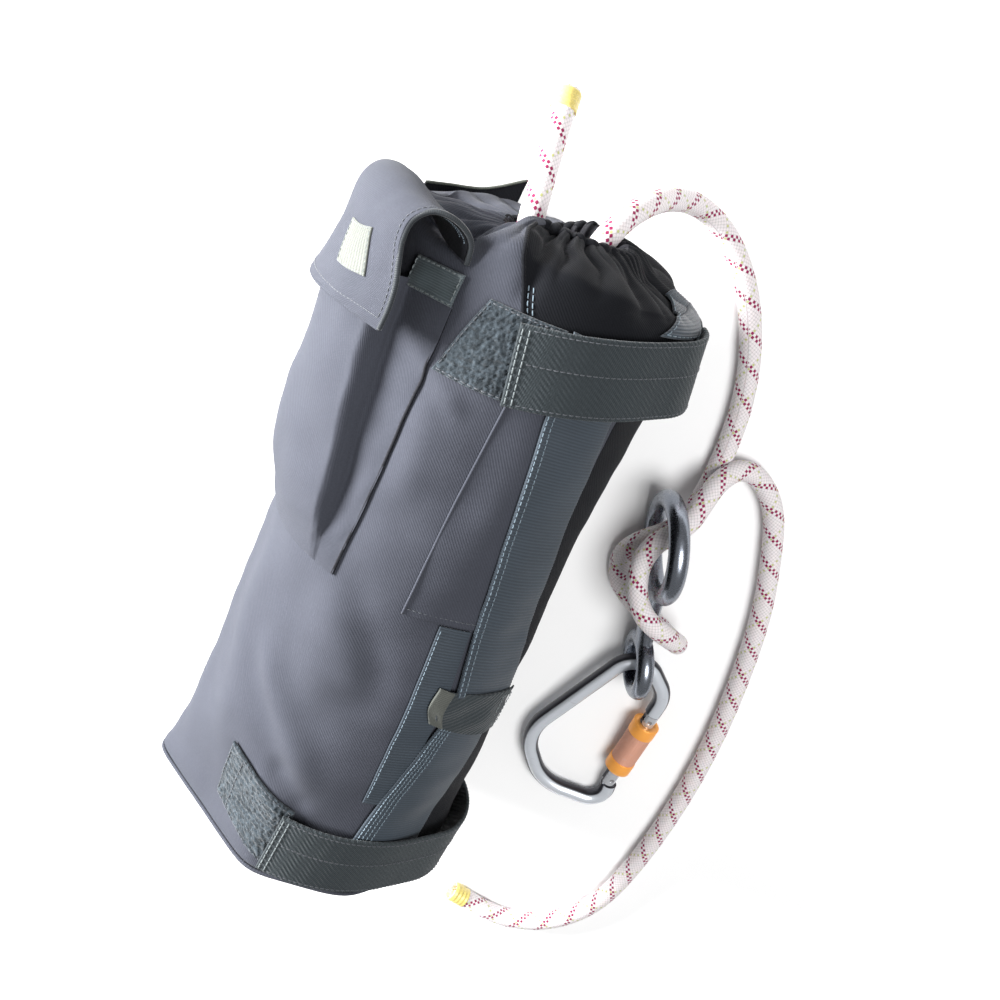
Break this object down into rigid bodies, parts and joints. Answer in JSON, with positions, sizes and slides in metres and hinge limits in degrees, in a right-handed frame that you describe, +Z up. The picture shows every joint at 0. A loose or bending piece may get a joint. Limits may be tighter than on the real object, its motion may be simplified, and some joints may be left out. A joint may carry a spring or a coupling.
{
  "type": "rope storage bag",
  "caption": "Cylindrical fabric rope bag with gathered neck, front pocket and leg straps, lying with its rope rigged to a figure-of-eight descender and a carabiner.",
  "frame": {"origin": "on the ground under the middle of the bag (the free rope and what hangs on it left out)", "axes": "+Z up, the bag lies along Y with its gathered neck at +Y, front pocket at -X, rope and hardware at +X"},
  "size_m": [0.358, 0.5354, 0.1638],
  "materials": {
    "bag_fabric": "matte twill",
    "dark_fabric": "matte twill",
    "webbing": "ribbed webbing",
    "strap_elastic": "diagonal twill elastic",
    "loop_tape": "fuzzy loop tape",
    "hook_tape": "hook tape",
    "label": "ribbed woven patch",
    "cord": "braided cord",
    "lock_plastic": "moulded",
    "spring_steel": "spring wire",
    "rope": "braided sheath",
    "end_tape": "shrunk tape",
    "black_alloy": "black anodised, polished",
    "grey_alloy": "satin anodised",
    "pin_steel": "polished ends",
    "orange_sleeve": "orange anodised, knurled middle"
  },
  "bodies": {
    "bag": {"bag_sleeve": "bag_fabric", "base_panel": "dark_fabric", "collar": "dark_fabric", "rim_casing": "dark_fabric", "drawcord": "cord", "drawcord_tails": "cord", "cord_lock_barrel": "lock_plastic", "cord_lock_spring": "spring_steel", "front_pocket": "bag_fabric", "pocket_loop_tape": "loop_tape", "pocket_tab": "webbing", "side_panel": "bag_fabric", "back_panel": "dark_fabric", "narrow_webbing": "webbing", "wide_webbing": "webbing", "lower_webbing": "webbing", "webbing_keeper": "webbing", "belt_flap": "dark_fabric", "upper_loop_patch": "loop_tape", "upper_strap_anchor": "strap_elastic", "lower_loop_patch": "loop_tape", "lower_strap_anchor": "strap_elastic", "stored_rope": "rope", "rope_short_end": "rope", "rope_lead": "rope", "short_end_tape": "end_tape", "tail_end_tape": "end_tape", "figure8_descender": "black_alloy"},
    "pocket_flap": {"pocket_flap": "bag_fabric", "flap_hook_tape": "hook_tape", "label_patch": "label"},
    "upper_strap": {"upper_leg_strap": "strap_elastic", "upper_hook_tape": "hook_tape"},
    "lower_strap": {"lower_leg_strap": "strap_elastic", "lower_hook_tape": "hook_tape"},
    "lock_plunger": {"cord_lock_plunger": "lock_plastic"},
    "carabiner": {"carabiner_frame": "grey_alloy"},
    "gate": {"carabiner_gate": "grey_alloy", "gate_hinge_pin": "pin_steel", "gate_nose_pin": "pin_steel", "gate_spring": "spring_steel", "gate_plunger": "pin_steel", "sleeve_spring": "spring_steel"},
    "sleeve": {"locking_sleeve": "orange_sleeve"}
  },
  "joints": [
    {"name": "pocket_flap_hinge", "type": "hinge", "parent": "bag", "child": "pocket_flap", "pos_m": [-0.07191, 0.17, 0.09445], "axis": [-0.2164, 0, -0.9763], "range_deg": [0, 150]},
    {"name": "upper_strap_swing", "type": "hinge", "parent": "bag", "child": "upper_strap", "pos_m": [0.08764, 0.15172, 0.09873], "axis": [-0.1908, 0.9816, 0], "range_deg": [0, 100]},
    {"name": "lower_strap_swing", "type": "hinge", "parent": "bag", "child": "lower_strap", "pos_m": [0.0921, -0.15947, 0.072], "axis": [0.0523, 0.9986, 0], "range_deg": [0, 100]},
    {"name": "cord_lock_press", "type": "slide", "parent": "bag", "child": "lock_plunger", "axis": [0, 0, -1], "range_m": [0, 0.003], "stiffness_N_per_m": 300, "springref_m": -0.003, "deforming": ["cord_lock_spring"]},
    {"name": "carabiner_swing", "type": "hinge", "parent": "bag", "child": "carabiner", "pos_m": [0.17378, -0.06451, 0.01604], "axis": [0, -0.0976, 0.9952], "range_deg": [-15, 8]},
    {"name": "gate_hinge", "type": "hinge", "parent": "carabiner", "child": "gate", "pos_m": [0.20128, -0.14512, 0.00814], "axis": [0, -0.0976, 0.9952], "range_deg": [0, 22], "stiffness_Nm_per_rad": 0.3, "springref_deg": -14.32},
    {"name": "sleeve_twist", "type": "hinge", "parent": "gate", "child": "sleeve", "pos_m": [0.20078, -0.11427, 0.01116], "axis": [0, 0.9952, 0.0976], "range_deg": [0, 90], "stiffness_Nm_per_rad": 0.05, "springref_deg": -17.19}
  ]
}
